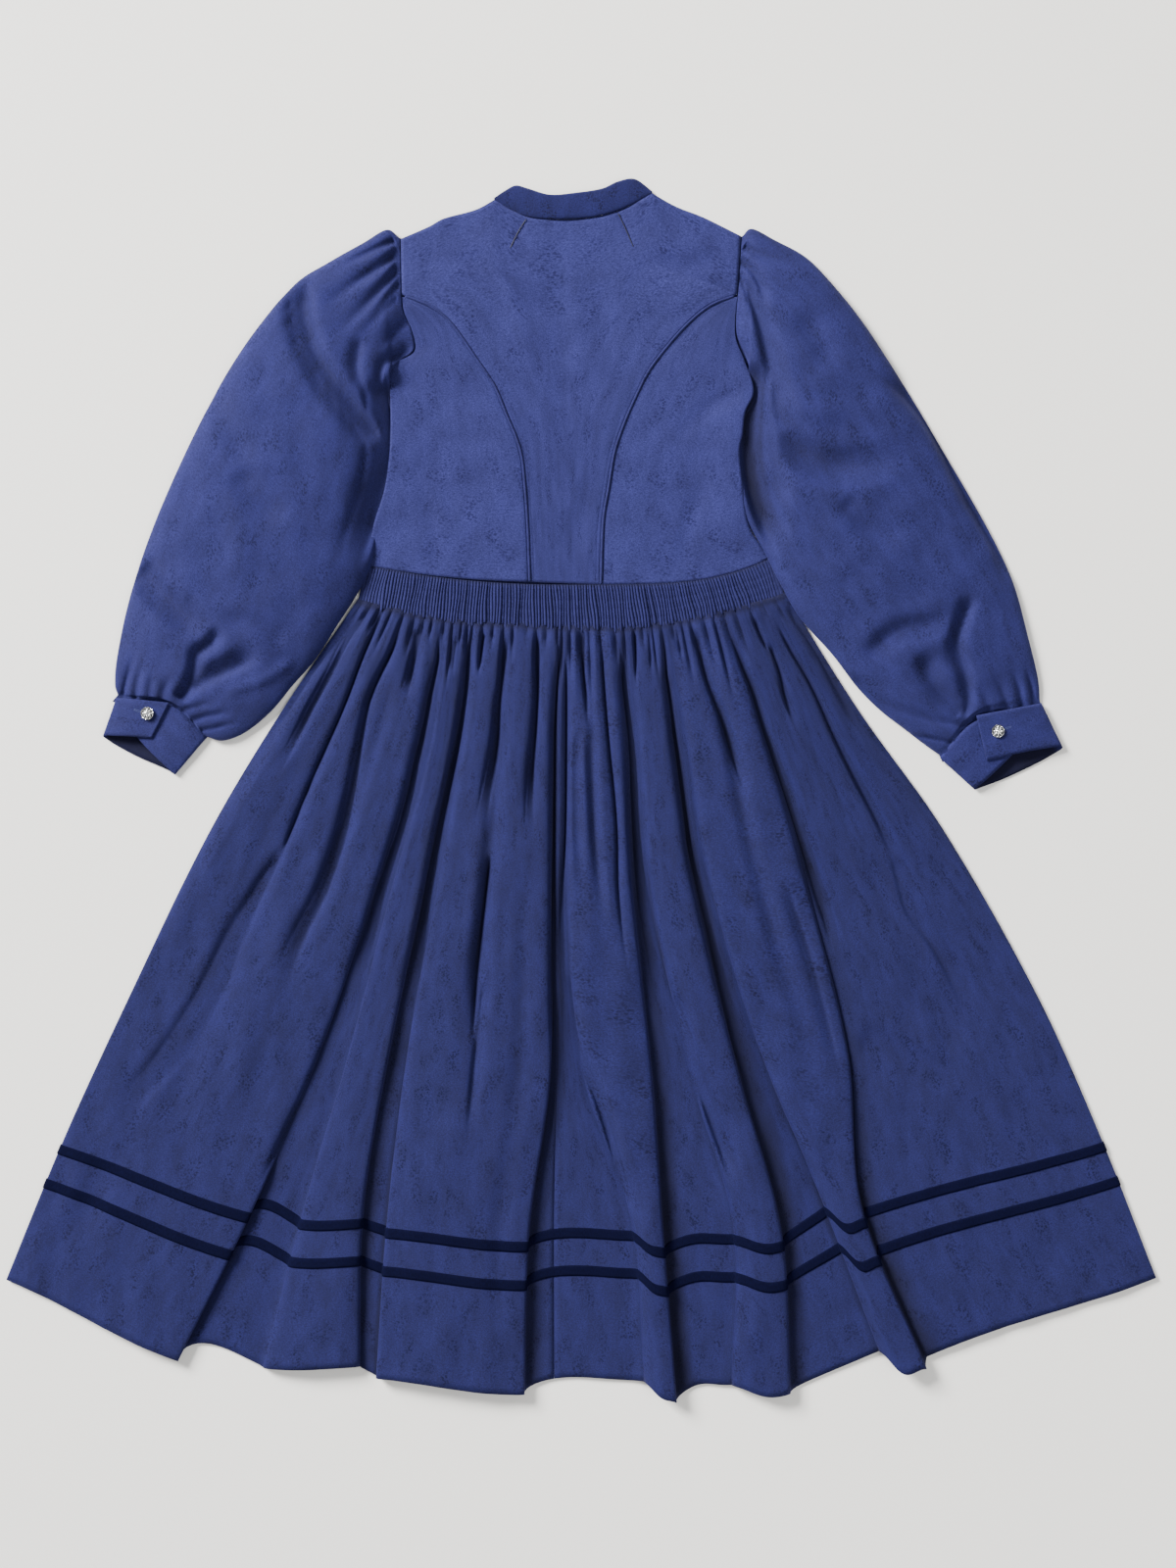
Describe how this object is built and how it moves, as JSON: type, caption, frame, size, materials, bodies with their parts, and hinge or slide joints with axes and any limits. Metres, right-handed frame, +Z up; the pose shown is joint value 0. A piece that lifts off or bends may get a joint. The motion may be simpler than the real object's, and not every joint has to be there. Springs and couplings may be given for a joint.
{
  "type": "long-sleeved dirndl",
  "caption": "Long-sleeved dirndl in blue-violet figured wool, laid flat with its back up: piped princess seams, gauged waist, full gathered skirt with velvet ribbons, puffed sleeves and buttoned cuffs.",
  "frame": {"origin": "middle of the garment's outline, on the surface it lies on", "axes": "+Z up out of the surface, +Y towards the neck, +X towards the right sleeve as seen from above"},
  "size_m": [1.2312, 1.3078, 0.026],
  "materials": {
    "wool": "matte",
    "gauging": "matte",
    "piping": "matte",
    "velvet": "matte",
    "button": "satin"
  },
  "bodies": {
    "root": {"back_centre": "wool", "back_side_left": "wool", "back_side_right": "wool", "front_left": "wool", "front_right": "wool", "piping_left": "piping", "piping_right": "piping", "collar_back": "wool", "collar_front": "wool", "gauging_back": "gauging", "gauging_front": "gauging", "skirt_back_left": "wool", "skirt_back_right": "wool", "skirt_front": "wool", "ribbon_upper": "velvet", "ribbon_lower": "velvet", "sleeve_left": "wool", "sleeve_right": "wool", "cuff_left": "wool", "cuff_right": "wool", "button_left": "button", "button_right": "button"}
  },
  "joints": []
}
